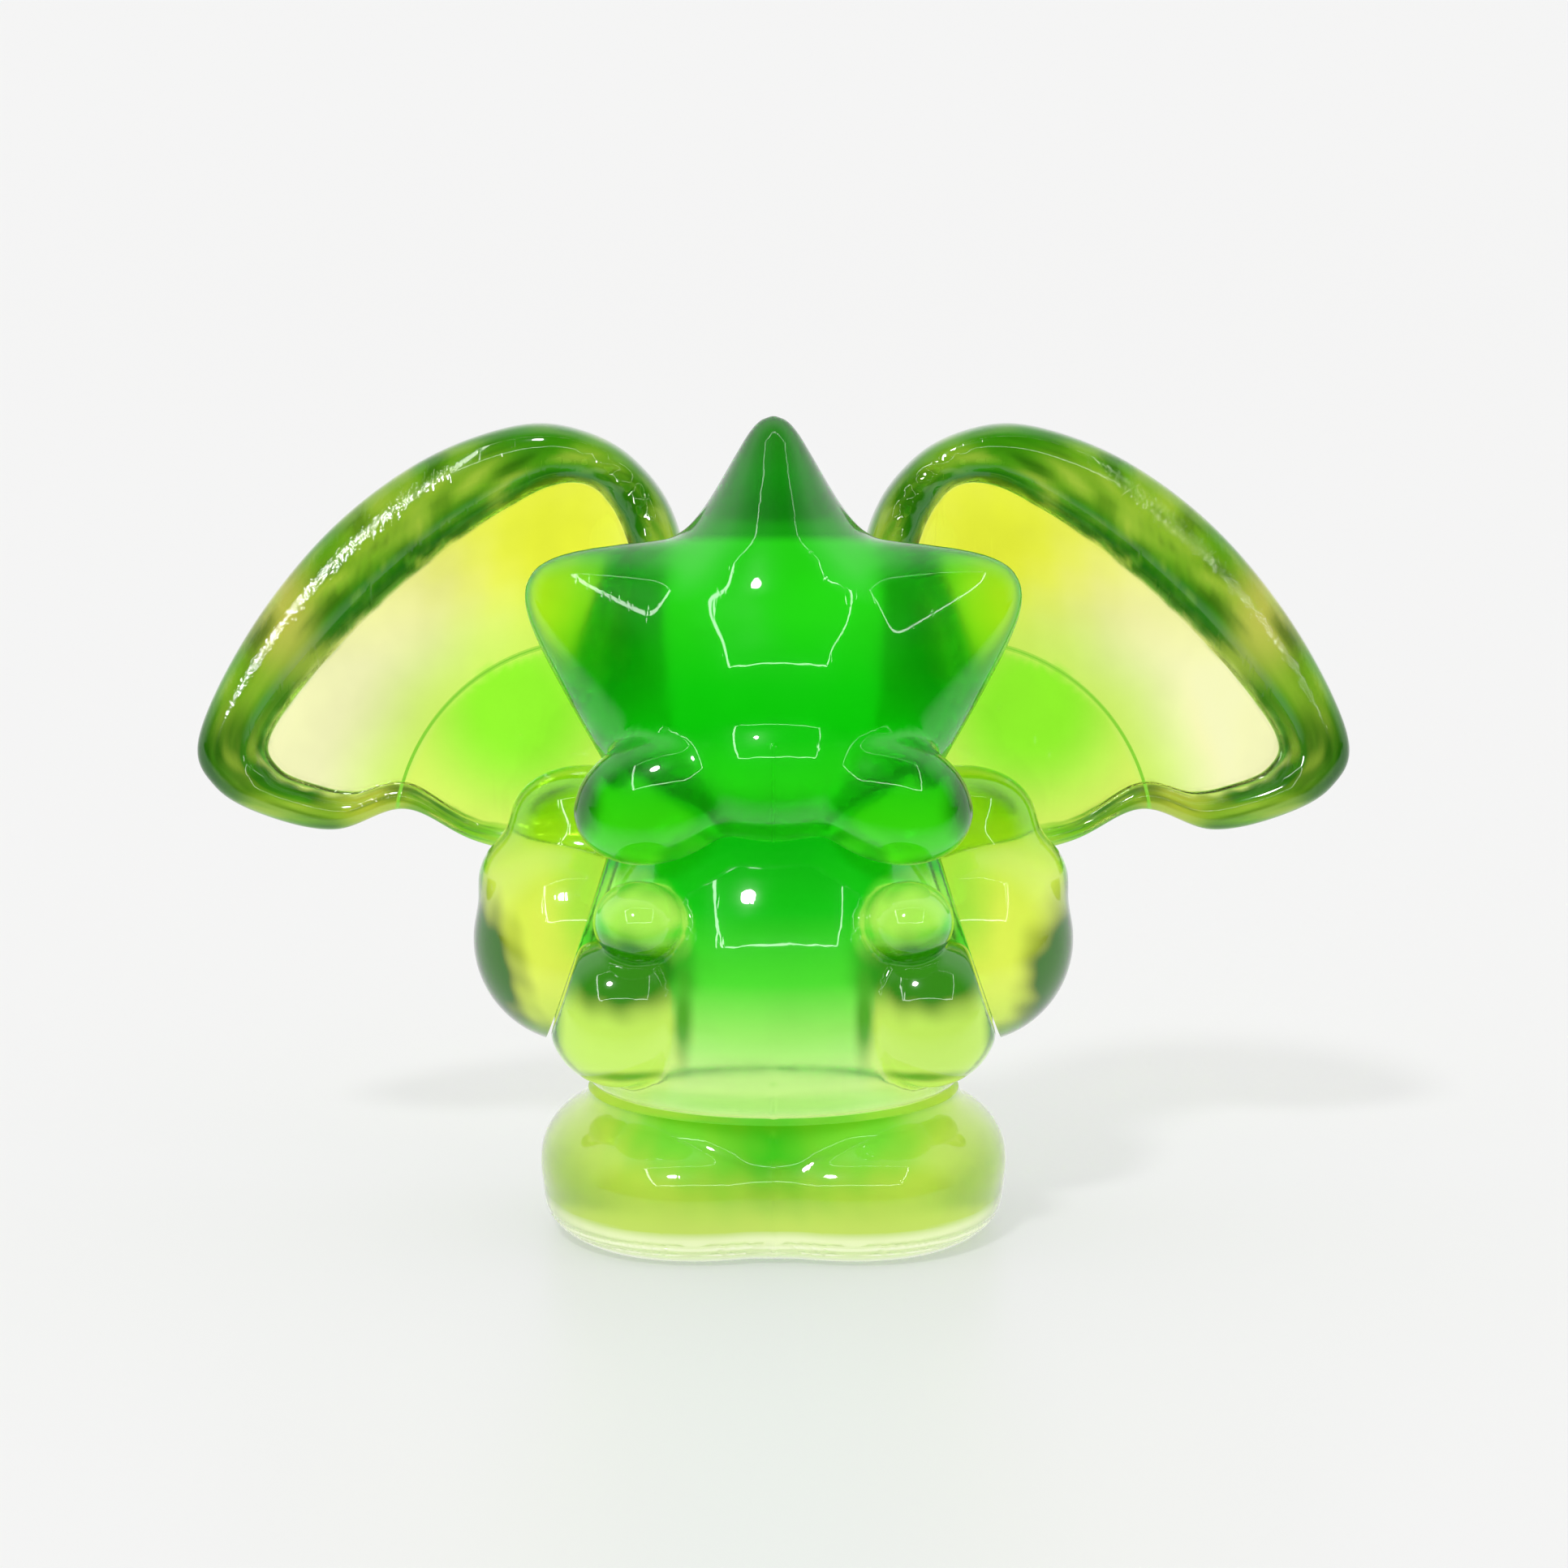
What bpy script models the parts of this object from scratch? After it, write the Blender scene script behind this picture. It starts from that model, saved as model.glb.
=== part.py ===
"""Winged dragon desk figure in clear green vinyl: seven moulded pieces, push-fitted on round pegs.

It stands on the floor at z = 0 and faces -Y. Lengths are in metres.
"""

import math

import bmesh
import bpy
from mathutils import Matrix, Vector

MM = 0.001

# Fits shared by the pieces
SEAM_GAP = 0.3 * MM
PEG_PLAY = 0.2 * MM

# Feet: two pebbles side by side, with a round seat on top
FEET_WIDTH = 28.4 * MM
FEET_DEPTH = 24.6 * MM
FEET_HEIGHT = 8.5 * MM
FOOT_SPACING = 9.4 * MM
FOOT_BELLY_HEIGHT = 4.2 * MM
FOOT_BULGE = 4.7 * MM
FOOT_CENTRE_Y = -0.3 * MM
WAIST_RADIUS = 11.2 * MM
WAIST_PEG_RADIUS = 4.0 * MM
WAIST_PEG_LENGTH = 3.2 * MM

# Torso: a turned body with a collar, knees, paws and a shoulder block at each side
TORSO_HEIGHT = 16.4 * MM
COLLAR_HEIGHT = 2.0 * MM
COLLAR_ROUNDING = 0.5 * MM
BELLY_RADIUS = 12.0 * MM
BELLY_HEIGHT = 6.2 * MM
NECK_RADIUS = 7.5 * MM
KNEE_LENGTHS = (4.0 * MM, 4.4 * MM, 4.3 * MM)
KNEE_X = 8.8 * MM
KNEE_Y = -7.3 * MM
KNEE_HEIGHT = 6.1 * MM
PAW_LENGTHS = (2.7 * MM, 3.2 * MM, 2.4 * MM)
PAW_X = 7.9 * MM
PAW_Y = -9.3 * MM
PAW_HEIGHT = 11.5 * MM
BLOCK_LENGTHS = (5.6 * MM, 6.2 * MM, 6.2 * MM)
BLOCK_X = 8.0 * MM
BLOCK_Y = 0.9 * MM
BLOCK_HEIGHT = 9.4 * MM

# Arms: two round lobes, flat where they lie on the torso's slanted sides
ARM_SLANT = math.radians(18.5)
SHOULDER_X = 10.4 * MM
SHOULDER_Y = 2.6 * MM
SHOULDER_HEIGHT = 12.7 * MM
ARM_PEG_RADIUS = 2.0 * MM
ARM_PEG_LENGTH = 3.4 * MM
SHOULDER_LENGTHS = (6.5 * MM, 4.5 * MM, 4.6 * MM)
SHOULDER_RISE = 1.9 * MM
FOREARM_LENGTHS = (6.5 * MM, 5.6 * MM, 6.4 * MM)
FOREARM_DROP = 4.4 * MM
FOREARM_FORWARD = 2.0 * MM

# Head: skull, muzzle, cheeks and three horns
NECK_PEG_RADIUS = 2.6 * MM
NECK_PEG_LENGTH = 4.0 * MM
SKULL_LENGTHS = (11.4 * MM, 8.4 * MM, 8.8 * MM)
SKULL_Y = -1.2 * MM
SKULL_RISE = 8.8 * MM
MUZZLE_LENGTHS = (5.6 * MM, 4.5 * MM, 4.3 * MM)
MUZZLE_Y = -7.6 * MM
MUZZLE_RISE = 3.6 * MM
CHEEK_LENGTHS = (4.3 * MM, 3.4 * MM, 4.2 * MM)
CHEEK_X = 7.0 * MM
CHEEK_Y = -7.6 * MM
CHEEK_RISE = 1.6 * MM
CHIN_DROP = 2.2 * MM
HORN_LENGTH = 10.4 * MM
HORN_FOOT_RISE = 13.5 * MM
HORN_FLATNESS = 0.82
SIDE_HORN_BASE_RADIUS = 7.0 * MM
SIDE_HORN_TIP_RADIUS = 2.1 * MM
SIDE_HORN_LENGTH = 10.2 * MM
SIDE_HORN_X = 5.2 * MM
SIDE_HORN_RISE = 10.3 * MM
SIDE_HORN_SLOPE = math.radians(23.5)
SIDE_HORN_FLATNESS = 0.62

# The centre horn's radius at shares of its length
HORN_STEPS = (
    (7.4 * MM, 0.0),
    (6.2 * MM, 0.25),
    (5.1 * MM, 0.35),
    (3.95 * MM, 0.49),
    (3.05 * MM, 0.64),
    (2.2 * MM, 0.79),
    (1.5 * MM, 0.91),
    (0.8 * MM, 0.977),
)

# Wings: a round rim about a thin web, with a flat root pad behind the torso
WING_FACE_Y = 8.4 * MM
WING_FACE_FOOT = 4.2 * MM
WING_ROOT_X = 5.5 * MM
WING_ROOT_HEIGHT = 11.5 * MM
WING_ROOT_RADIUS = 3.4 * MM
WING_PEG_RADIUS = 1.7 * MM
WING_PEG_LENGTH = 2.8 * MM
WING_SWEEP = math.radians(6)
WING_SPAN = 30.8 * MM
WING_RISE = 27.2 * MM
RIM_HALF_THICKNESS = 2.1 * MM
RIM_FULL_WIDTH = 4.0 * MM
WEB_HALF_THICKNESS = 0.7 * MM

# The wing's edge and the web's edge inside it, point against point, as shares of the span and of the rise
WING_EDGES = (
    ((0.009, 0.761), (0.110, 0.720)),
    ((0.103, 0.927), (0.170, 0.850)),
    ((0.233, 0.999), (0.255, 0.868)),
    ((0.364, 0.996), (0.360, 0.810)),
    ((0.546, 0.912), (0.500, 0.700)),
    ((0.730, 0.751), (0.645, 0.555)),
    ((0.892, 0.522), (0.785, 0.385)),
    ((0.999, 0.275), (0.856, 0.262)),
    ((0.965, 0.158), (0.832, 0.195)),
    ((0.856, 0.090), (0.765, 0.163)),
    ((0.714, 0.061), (0.680, 0.147)),
    ((0.571, 0.113), (0.571, 0.172)),
    ((0.430, 0.042), (0.435, 0.092)),
    ((0.250, -0.010), (0.280, 0.075)),
    ((0.110, -0.090), (0.190, 0.110)),
    ((-0.020, -0.120), (0.140, 0.170)),
    ((-0.115, -0.020), (0.105, 0.240)),
    ((-0.085, 0.160), (0.090, 0.320)),
    ((-0.030, 0.420), (0.080, 0.480)),
)

# The rim's section, from the edge to the web: share of the way across, share of the rim's half thickness
RIM_SECTION = ((0.04, 0.45), (0.15, 0.80), (0.36, 1.0), (0.62, 0.92), (0.84, 0.60))

# Heights that follow from the sizes above
WAIST_Z = FEET_HEIGHT + SEAM_GAP
NECK_Z = WAIST_Z + TORSO_HEIGHT
HEAD_Z = NECK_Z + SEAM_GAP
SHOULDER_Z = WAIST_Z + SHOULDER_HEIGHT
WING_ROOT_Z = WAIST_Z + WING_ROOT_HEIGHT
TALL = 0.2


def clear_vinyl(name, colour):
    """A glossy clear plastic of one colour."""
    material = bpy.data.materials.new(name)
    material.use_nodes = True
    shader = material.node_tree.nodes["Principled BSDF"]
    shader.inputs["Base Color"].default_value = (*colour, 1.0)
    shader.inputs["Roughness"].default_value = 0.06
    shader.inputs["Metallic"].default_value = 0.0
    shader.inputs["IOR"].default_value = 1.5
    shader.inputs["Transmission Weight"].default_value = 0.9
    material.diffuse_color = (*colour, 1.0)
    return material


def new_object(name, bm, place=None):
    """The mesh as an object at a place in the world, with its faces out and smooth."""
    bmesh.ops.recalc_face_normals(bm, faces=bm.faces)
    mesh = bpy.data.meshes.new(name)
    bm.to_mesh(mesh)
    bm.free()
    mesh.shade_smooth()
    mesh.set_sharp_from_angle(angle=math.radians(35))
    item = bpy.data.objects.new(name, mesh)
    bpy.context.collection.objects.link(item)
    if place is not None:
        item.matrix_world = place
    return item


def as_tool(item):
    """A shape that only joins or cuts another piece."""
    item.hide_render = True
    item.display_type = "WIRE"
    return item


def ellipsoid(name, lengths, place, segments=24, boxiness=(1.0, 1.0)):
    """A round lobe; boxiness below 1 squares it in plan and in height."""
    bm = bmesh.new()
    bmesh.ops.create_uvsphere(bm, u_segments=segments, v_segments=segments // 2, radius=1.0)
    for vert in bm.verts:
        turn = math.atan2(vert.co.y, vert.co.x)
        lift = math.asin(max(-1.0, min(1.0, vert.co.z)))
        flat = math.cos(lift)
        flat = max(flat, 0.0) ** boxiness[1]
        x = math.copysign(abs(math.cos(turn)) ** boxiness[0], math.cos(turn)) * flat
        y = math.copysign(abs(math.sin(turn)) ** boxiness[0], math.sin(turn)) * flat
        z = math.copysign(abs(math.sin(lift)) ** boxiness[1], math.sin(lift))
        vert.co = (x * lengths[0], y * lengths[1], z * lengths[2])
    bmesh.ops.remove_doubles(bm, verts=bm.verts, dist=1e-6)
    return new_object(name, bm, place)


def turned(name, profile, place, segments=40):
    """A solid of revolution about its own z, from (radius, height) points that start and end on the axis."""
    bm = bmesh.new()
    verts = [bm.verts.new((radius, 0.0, height)) for radius, height in profile]
    edges = [bm.edges.new(pair) for pair in zip(verts[:-1], verts[1:])]
    bmesh.ops.spin(
        bm,
        geom=verts + edges,
        cent=(0.0, 0.0, 0.0),
        axis=(0.0, 0.0, 1.0),
        angle=2.0 * math.pi,
        steps=segments,
        use_merge=True,
    )
    bmesh.ops.remove_doubles(bm, verts=bm.verts, dist=1e-6)
    return new_object(name, bm, place)


def cylinder(name, radius, low, high, place, segments=24):
    return turned(name, [(0.0, low), (radius, low), (radius, high), (0.0, high)], place, segments)


def slab(name, low, high, place):
    """A box between two corners."""
    bm = bmesh.new()
    bmesh.ops.create_cube(bm, size=1.0)
    for vert in bm.verts:
        vert.co = [low[i] if vert.co[i] < 0 else high[i] for i in range(3)]
    return new_object(name, bm, place)


def apply_tool(item, tool, operation):
    step = item.modifiers.new(operation.lower() + " " + tool.name, "BOOLEAN")
    step.operation = operation
    step.solver = "EXACT"
    step.object = as_tool(tool)


def join(item, *tools):
    for tool in tools:
        apply_tool(item, tool, "UNION")


def cut(item, *tools):
    for tool in tools:
        apply_tool(item, tool, "DIFFERENCE")


def at(x, y, z, turn=None):
    place = Matrix.Translation((x, y, z))
    return place if turn is None else place @ turn


def belly_radius(height):
    """The turned torso's radius at a height above the waist, on an ellipse through belly and neck."""
    neck_share = (NECK_RADIUS / BELLY_RADIUS) ** 2
    half_height = (TORSO_HEIGHT - BELLY_HEIGHT) / math.sqrt(1.0 - neck_share)
    return BELLY_RADIUS * math.sqrt(1.0 - ((height - BELLY_HEIGHT) / half_height) ** 2)


def torso_profile(gap):
    """The torso's turned outline, grown all round by a gap."""
    points = [
        (0.0, -gap),
        (WAIST_RADIUS + gap - COLLAR_ROUNDING, -gap),
        (WAIST_RADIUS + gap - COLLAR_ROUNDING * 0.3, COLLAR_ROUNDING * 0.3 - gap),
        (WAIST_RADIUS + gap, COLLAR_ROUNDING - gap),
        (WAIST_RADIUS + gap, COLLAR_HEIGHT),
    ]
    steps = 9
    for step in range(1, steps + 1):
        height = COLLAR_HEIGHT + (TORSO_HEIGHT - COLLAR_HEIGHT) * step / steps
        points.append((belly_radius(height) + gap, height))
    points[-1] = (points[-1][0], TORSO_HEIGHT + gap)
    points.append((0.0, TORSO_HEIGHT + gap))
    return points


def wing_curve(points, count):
    """A closed smooth curve through points, as count points at even shares of its parameter."""
    total = len(points)
    curve = []
    for index in range(count):
        share = index * total / count
        first = int(share)
        t = share - first
        p0, p1, p2, p3 = (Vector(points[(first + k) % total]) for k in (-1, 0, 1, 2))
        curve.append(
            0.5
            * (
                2.0 * p1
                + (p2 - p0) * t
                + (2.0 * p0 - 5.0 * p1 + 4.0 * p2 - p3) * t * t
                + (3.0 * p1 - p0 - 3.0 * p2 + p3) * t * t * t
            )
        )
    return curve


def wing_sheet(name, side, place):
    """The wing's rim and web, as rings from the edge to the web's middle on both faces."""
    count = 42
    edge = wing_curve([pair[0] for pair in WING_EDGES], count)
    web = wing_curve([pair[1] for pair in WING_EDGES], count)
    edge = [Vector((side * p.x * WING_SPAN, p.y * WING_RISE)) for p in edge]
    web = [Vector((side * p.x * WING_SPAN, p.y * WING_RISE)) for p in web]
    middle = sum(web, Vector((0.0, 0.0))) / count
    bm = bmesh.new()
    outer = [bm.verts.new((p.x, 0.0, p.y)) for p in edge]
    for face in (-1.0, 1.0):
        rings = [outer]
        for across, share in RIM_SECTION:
            ring = []
            for start, end in zip(edge, web):
                full = min(1.0, 0.3 + 0.7 * (end - start).length / RIM_FULL_WIDTH)
                depth = WEB_HALF_THICKNESS + (RIM_HALF_THICKNESS * full - WEB_HALF_THICKNESS) * share
                point = start.lerp(end, across)
                ring.append(bm.verts.new((point.x, face * depth, point.y)))
            rings.append(ring)
        rings.append([bm.verts.new((p.x, face * WEB_HALF_THICKNESS, p.y)) for p in web])
        for last, this in zip(rings[:-1], rings[1:]):
            for i in range(count):
                k = (i + 1) % count
                bm.faces.new((last[i], last[k], this[k], this[i]))
        hub = bm.verts.new((middle.x, face * WEB_HALF_THICKNESS, middle.y))
        for i in range(count):
            bm.faces.new((rings[-1][i], rings[-1][(i + 1) % count], hub))
    return new_object(name, bm, place)


for old in list(bpy.data.objects):
    bpy.data.objects.remove(old, do_unlink=True)

# Feet
foot_lengths = ((FEET_WIDTH - FOOT_SPACING) / 2.0, FEET_DEPTH / 2.0, FOOT_BULGE)
foot_boxiness = (0.94, 0.62)
feet = ellipsoid(
    "feet_base", foot_lengths, at(-FOOT_SPACING / 2.0, FOOT_CENTRE_Y, FOOT_BELLY_HEIGHT), 28, foot_boxiness
)
feet.data.materials.append(clear_vinyl("vinyl feet_base", (0.42, 0.72, 0.08)))
join(
    feet,
    ellipsoid(
        "second foot", foot_lengths, at(FOOT_SPACING / 2.0, FOOT_CENTRE_Y, FOOT_BELLY_HEIGHT), 28, foot_boxiness
    ),
    cylinder("waist seat", WAIST_RADIUS, FOOT_BELLY_HEIGHT, FEET_HEIGHT, at(0.0, 0.0, 0.0), 40),
)
cut(
    feet,
    slab("under the floor", (-TALL, -TALL, -TALL), (TALL, TALL, 0.0), at(0.0, 0.0, 0.0)),
    slab("over the seat", (-TALL, -TALL, FEET_HEIGHT), (TALL, TALL, TALL), at(0.0, 0.0, 0.0)),
    cylinder(
        "waist socket",
        WAIST_PEG_RADIUS + PEG_PLAY,
        FEET_HEIGHT - WAIST_PEG_LENGTH,
        TALL,
        at(0.0, 0.0, 0.0),
    ),
)

# Torso
torso = turned("torso", torso_profile(0.0), at(0.0, 0.0, WAIST_Z))
torso.data.materials.append(clear_vinyl("vinyl torso", (0.10, 0.62, 0.05)))
arm_places = {}
wing_places = {}
backward = Matrix.Rotation(math.radians(-90), 4, "X")
outward = {}
for side in (-1, 1):
    mark = " left" if side < 0 else " right"
    slant = Matrix.Rotation(-side * ARM_SLANT, 4, "Y")
    arm_places[side] = at(side * SHOULDER_X, SHOULDER_Y, SHOULDER_Z, slant)
    wing_places[side] = at(side * WING_ROOT_X, WING_FACE_Y, WING_ROOT_Z)
    outward[side] = Matrix.Rotation(side * math.radians(90), 4, "Y")
    join(
        torso,
        ellipsoid("knee" + mark, KNEE_LENGTHS, at(side * KNEE_X, KNEE_Y, WAIST_Z + KNEE_HEIGHT), 22),
        ellipsoid("paw" + mark, PAW_LENGTHS, at(side * PAW_X, PAW_Y, WAIST_Z + PAW_HEIGHT), 18),
        ellipsoid("block" + mark, BLOCK_LENGTHS, at(side * BLOCK_X, BLOCK_Y, WAIST_Z + BLOCK_HEIGHT), 22),
    )
for side in (-1, 1):
    mark = " left" if side < 0 else " right"
    cut(
        torso,
        slab(
            "arm face" + mark, (-TALL, -TALL, 0.0), (TALL, TALL, TALL), arm_places[side] @ outward[side]
        ),
    )
cut(
    torso,
    slab("wing face", (-TALL, WING_FACE_Y, WAIST_Z + WING_FACE_FOOT), (TALL, TALL, TALL), at(0.0, 0.0, 0.0)),
    cylinder(
        "neck socket",
        NECK_PEG_RADIUS + PEG_PLAY,
        TORSO_HEIGHT - NECK_PEG_LENGTH,
        TALL,
        at(0.0, 0.0, WAIST_Z),
    ),
)
for side in (-1, 1):
    mark = " left" if side < 0 else " right"
    cut(
        torso,
        cylinder(
            "arm socket" + mark,
            ARM_PEG_RADIUS + PEG_PLAY,
            -ARM_PEG_LENGTH,
            ARM_PEG_LENGTH,
            arm_places[side] @ outward[side],
            20,
        ),
        cylinder(
            "wing socket" + mark,
            WING_PEG_RADIUS + PEG_PLAY,
            -WING_PEG_LENGTH,
            WING_PEG_LENGTH,
            wing_places[side] @ backward,
            20,
        ),
    )
join(
    torso,
    cylinder("waist peg", WAIST_PEG_RADIUS, -WAIST_PEG_LENGTH, COLLAR_HEIGHT, at(0.0, 0.0, WAIST_Z)),
)

# Arms
arms = {}
for side in (-1, 1):
    name = "arm_left" if side < 0 else "arm_right"
    place = arm_places[side]
    arm = ellipsoid(name, FOREARM_LENGTHS, place, 24)
    arm.data.transform(Matrix.Translation((0.0, -FOREARM_FORWARD, -FOREARM_DROP)))
    arm.data.materials.append(clear_vinyl("vinyl " + name, (0.55, 0.72, 0.08)))
    join(
        arm,
        ellipsoid(
            "shoulder of " + name, SHOULDER_LENGTHS, place @ Matrix.Translation((0.0, 0.0, SHOULDER_RISE)), 22
        ),
    )
    cut(
        arm,
        slab("inside of " + name, (-TALL, -TALL, -TALL), (TALL, TALL, SEAM_GAP), place @ outward[side]),
    )
    join(
        arm,
        cylinder(
            "peg of " + name,
            ARM_PEG_RADIUS,
            SEAM_GAP - ARM_PEG_LENGTH,
            ARM_PEG_RADIUS,
            place @ outward[side],
            20,
        ),
    )
    arms[side] = arm

# Head
head = ellipsoid("head", SKULL_LENGTHS, at(0.0, 0.0, HEAD_Z), 30, (0.96, 0.9))
head.data.transform(Matrix.Translation((0.0, SKULL_Y, SKULL_RISE)))
head.data.materials.append(clear_vinyl("vinyl head", (0.06, 0.60, 0.05)))
horn_profile = [(0.0, 0.0)] + [(radius, share * HORN_LENGTH) for radius, share in HORN_STEPS]
horn = turned("horn", horn_profile + [(0.0, HORN_LENGTH)], None, 24)
horn.data.transform(Matrix.Diagonal((1.0, HORN_FLATNESS, 1.0, 1.0)))
horn.matrix_world = at(0.0, SKULL_Y, HEAD_Z + HORN_FOOT_RISE)
join(head, horn)
side_horn_profile = [
    (0.0, 0.0),
    (SIDE_HORN_BASE_RADIUS, 0.0),
    (SIDE_HORN_TIP_RADIUS, SIDE_HORN_LENGTH - SIDE_HORN_TIP_RADIUS),
    (SIDE_HORN_TIP_RADIUS * 0.8, SIDE_HORN_LENGTH - SIDE_HORN_TIP_RADIUS * 0.45),
    (SIDE_HORN_TIP_RADIUS * 0.45, SIDE_HORN_LENGTH - SIDE_HORN_TIP_RADIUS * 0.12),
    (0.0, SIDE_HORN_LENGTH),
]
for side in (-1, 1):
    mark = " left" if side < 0 else " right"
    lean = Matrix.Rotation(side * (math.radians(90) - SIDE_HORN_SLOPE), 4, "Y")
    side_horn = turned("side horn" + mark, side_horn_profile, None, 20)
    side_horn.data.transform(Matrix.Diagonal((1.0, SIDE_HORN_FLATNESS, 1.0, 1.0)) @ lean)
    side_horn.matrix_world = at(side * SIDE_HORN_X, 0.0, HEAD_Z + SIDE_HORN_RISE)
    join(
        head,
        side_horn,
        ellipsoid("cheek" + mark, CHEEK_LENGTHS, at(side * CHEEK_X, CHEEK_Y, HEAD_Z + CHEEK_RISE), 20),
    )
join(head, ellipsoid("muzzle", MUZZLE_LENGTHS, at(0.0, MUZZLE_Y, HEAD_Z + MUZZLE_RISE), 22))
cut(
    head,
    turned("torso under the head", torso_profile(SEAM_GAP), at(0.0, 0.0, WAIST_Z)),
    slab("under the chin", (-TALL, -TALL, -TALL), (TALL, TALL, HEAD_Z - CHIN_DROP), at(0.0, 0.0, 0.0)),
)
join(
    head,
    cylinder("neck peg", NECK_PEG_RADIUS, SEAM_GAP - NECK_PEG_LENGTH, NECK_PEG_RADIUS, at(0.0, 0.0, NECK_Z)),
)

# Wings
wings = {}
for side in (-1, 1):
    name = "wing_left" if side < 0 else "wing_right"
    place = wing_places[side]
    wing = wing_sheet(name, side, place)
    sweep = Matrix.Rotation(side * WING_SWEEP, 4, "Z")
    wing.data.transform(Matrix.Translation((0.0, SEAM_GAP + RIM_HALF_THICKNESS, 0.0)) @ sweep)
    wing.data.materials.append(clear_vinyl("vinyl " + name, (0.62, 0.78, 0.16)))
    join(
        wing,
        cylinder(
            "root of " + name, WING_ROOT_RADIUS, 0.0, 2.0 * RIM_HALF_THICKNESS, place @ backward, 24
        ),
    )
    cut(
        wing,
        slab("front of " + name, (-TALL, -TALL, -TALL), (TALL, TALL, SEAM_GAP), place @ backward),
    )
    join(
        wing,
        cylinder(
            "peg of " + name,
            WING_PEG_RADIUS,
            SEAM_GAP - WING_PEG_LENGTH,
            RIM_HALF_THICKNESS,
            place @ backward,
            20,
        ),
    )
    wings[side] = wing


def carry(item, carrier):
    """Hang a piece on the piece that carries it, where it stands."""
    bpy.context.view_layer.update()
    place = item.matrix_world.copy()
    item.parent = carrier
    item.matrix_parent_inverse = carrier.matrix_world.inverted()
    item.matrix_world = place


carry(torso, feet)
for piece in (head, arms[-1], arms[1], wings[-1], wings[1]):
    carry(piece, torso)
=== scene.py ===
"""Winged dragon desk figure in clear green vinyl: its finished pieces, materials, light and camera."""

import math

import bmesh
import bpy
import numpy
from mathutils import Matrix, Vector, noise


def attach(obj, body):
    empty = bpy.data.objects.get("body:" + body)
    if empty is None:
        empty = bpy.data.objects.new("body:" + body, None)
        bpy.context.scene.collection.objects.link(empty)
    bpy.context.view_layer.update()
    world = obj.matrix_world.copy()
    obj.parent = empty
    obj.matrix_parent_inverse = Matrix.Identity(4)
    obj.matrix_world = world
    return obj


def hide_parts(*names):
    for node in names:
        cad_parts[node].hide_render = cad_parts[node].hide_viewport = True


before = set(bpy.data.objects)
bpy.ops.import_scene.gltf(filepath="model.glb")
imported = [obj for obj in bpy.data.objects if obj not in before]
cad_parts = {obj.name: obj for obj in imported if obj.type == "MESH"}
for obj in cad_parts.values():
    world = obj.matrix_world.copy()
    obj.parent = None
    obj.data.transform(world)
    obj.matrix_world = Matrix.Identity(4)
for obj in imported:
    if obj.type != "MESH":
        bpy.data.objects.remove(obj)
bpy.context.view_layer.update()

# Feet base
# Two pebble feet cast as one block of clear lime vinyl, flat underneath, with a round seat for the body.
# The two halves of its mould meet in a fine line down the middle, and two grooves run round the foot of it.
MM = 0.001
SEAT_Z = 8.5


def pick(*items):
    """Select these objects alone, the first of them active."""
    bpy.ops.object.select_all(action="DESELECT")
    for item in items:
        item.select_set(True)
    bpy.context.view_layer.objects.active = items[0]


def finish_step(item, kind, **settings):
    """Give a piece one modifier and apply it."""
    pick(item)
    step = item.modifiers.new(kind.lower(), kind)
    for name, value in settings.items():
        setattr(step, name, value)
    bpy.ops.object.modifier_apply(modifier=step.name)


def pebble(half_sizes, place, plan=1.0, side=1.0, turn=0.0):
    """A ball by its half sizes and place in mm, leant over by turn in radians."""
    # Plan is its outline from above, and side from the side: below 1 is squarer, above 1 more pinched.
    bpy.ops.object.select_all(action="DESELECT")
    bpy.ops.mesh.primitive_uv_sphere_add(segments=96, ring_count=48, radius=1.0)
    item = bpy.context.object
    for vert in item.data.vertices:
        level = math.hypot(vert.co.x, vert.co.y)
        reach = level**side / max(level, 1e-9) ** plan
        vert.co.x = math.copysign(abs(vert.co.x) ** plan, vert.co.x) * reach
        vert.co.y = math.copysign(abs(vert.co.y) ** plan, vert.co.y) * reach
        vert.co.z = math.copysign(abs(vert.co.z) ** side, vert.co.z)
    item.scale = [size * MM for size in half_sizes]
    item.rotation_euler = (0.0, turn, 0.0)
    item.location = [length * MM for length in place]
    bpy.ops.object.transform_apply(location=True, rotation=True, scale=True)
    return item


def drum(radius, low, high, rounding):
    """A short upright cylinder with its two edges rounded, in mm."""
    bpy.ops.object.select_all(action="DESELECT")
    bpy.ops.mesh.primitive_cylinder_add(
        vertices=160,
        radius=radius * MM,
        depth=(high - low) * MM,
        location=(0.0, 0.0, 0.5 * (low + high) * MM),
    )
    item = bpy.context.object
    finish_step(item, "BEVEL", width=rounding * MM, segments=4, limit_method="ANGLE")
    bpy.ops.object.transform_apply(location=True, rotation=True, scale=True)
    return item


def melt(name, items):
    """Join lobes that lie in each other into one skin, meshed afresh at 0.2 mm."""
    pick(*items)
    bpy.ops.object.join()
    item = bpy.context.object
    item.name = name
    item.data.name = name
    finish_step(item, "REMESH", mode="VOXEL", voxel_size=0.2 * MM, adaptivity=0.0)
    return item


def slice_off(item, place, outward):
    """Cut off what lies beyond a plane, and close the cut."""
    pick(item)
    bpy.ops.object.mode_set(mode="EDIT")
    bpy.ops.mesh.select_all(action="SELECT")
    bpy.ops.mesh.bisect(
        plane_co=[length * MM for length in place],
        plane_no=outward,
        use_fill=True,
        clear_outer=True,
        threshold=1e-6,
    )
    bpy.ops.object.mode_set(mode="OBJECT")


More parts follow.
